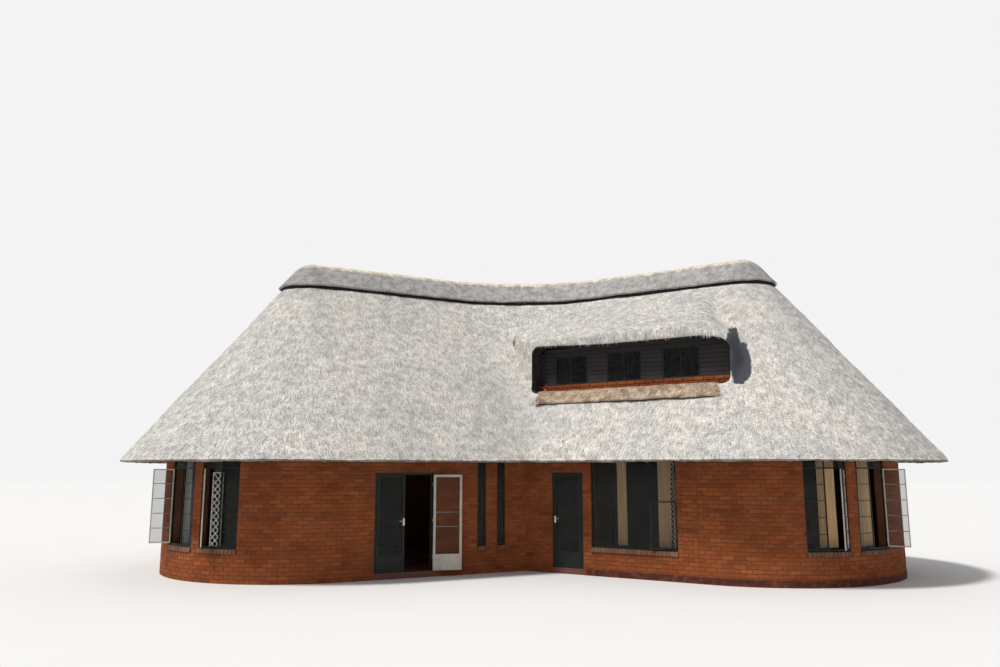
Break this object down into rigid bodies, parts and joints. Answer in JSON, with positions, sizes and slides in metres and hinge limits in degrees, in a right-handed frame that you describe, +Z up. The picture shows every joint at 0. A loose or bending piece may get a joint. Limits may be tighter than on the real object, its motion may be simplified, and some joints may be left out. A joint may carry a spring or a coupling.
{
  "type": "thatched rondavel house",
  "caption": "Thatched face-brick house of two round-ended wings with a ridge cap, an eyebrow dormer, hinged glazed doors and steel windows.",
  "frame": {"origin": "on the ground, in the middle of the roof's outline seen from above", "axes": "+X to the right seen from the front, -Y to the front where the inner corner and the doors are, +Z up"},
  "size_m": [19.221, 10.843, 7.4934],
  "materials": {
    "thatch": "weathered grey reed thatch",
    "cap_thatch": "straw-coloured thatch",
    "brick": "orange-red face brick",
    "plinth_paint": "dark red painted brick",
    "concrete": "floated concrete",
    "pole_wood": "peeled gum poles",
    "dark_boards": "dark stained boards",
    "green_steel": "dark green gloss paint",
    "cream_steel": "cream gloss paint",
    "pane": "clear window glass",
    "bright_steel": "satin",
    "curtain_cloth": "plain cotton"
  },
  "bodies": {
    "house": {"left_thatch": "thatch", "right_thatch": "thatch", "ridge_cap": "cap_thatch", "left_slot_wall": "brick", "left_front_wall": "brick", "left_sill_wall": "brick", "left_back_wall": "brick", "left_upper_wall": "brick", "right_door_wall": "brick", "right_window_wall": "brick", "right_sill_wall": "brick", "right_back_wall": "brick", "right_upper_wall": "brick", "door_lintel_walls": "brick", "window_piers": "brick", "right_plinth": "plinth_paint", "floor_slab": "concrete", "loft_floor": "concrete", "window_sills": "brick", "left_rafters": "pole_wood", "right_rafters": "pole_wood", "wall_plates": "pole_wood", "dormer_hood": "thatch", "dormer_knee_wall": "brick", "dormer_boards": "dark_boards", "dormer_frames": "green_steel", "dormer_glass": "pane", "dormer_apron": "cap_thatch", "french_frame": "green_steel", "door_frame": "green_steel", "left_window_frames": "green_steel", "right_window_frames": "green_steel", "left_window_glass": "pane", "right_window_glass": "pane", "left_casements": "cream_steel", "right_casements": "cream_steel", "window_lattice": "cream_steel", "curtain_rails": "bright_steel", "curtains": "curtain_cloth"},
    "french_left_door": {"french_left_leaf": "green_steel", "french_left_glass": "pane", "french_left_handle": "bright_steel"},
    "french_right_door": {"french_right_leaf": "green_steel", "french_right_glass": "pane"},
    "single_door": {"door_leaf": "green_steel", "door_glass": "pane", "door_handle": "bright_steel"}
  },
  "joints": [
    {"name": "french_left_hinge", "type": "hinge", "parent": "house", "child": "french_left_door", "pos_m": [-3.16365, -3.63321, 1.1], "axis": [0, 0, -1], "range_deg": [0, 165]},
    {"name": "french_right_hinge", "type": "hinge", "parent": "house", "child": "french_right_door", "pos_m": [-2.03782, -2.98321, 1.1], "axis": [0, 0, 1], "range_deg": [-165, 5]},
    {"name": "single_door_hinge", "type": "hinge", "parent": "house", "child": "single_door", "pos_m": [1.2584, -2.53321, 1.1], "axis": [0, 0, 1], "range_deg": [0, 150]}
  ]
}
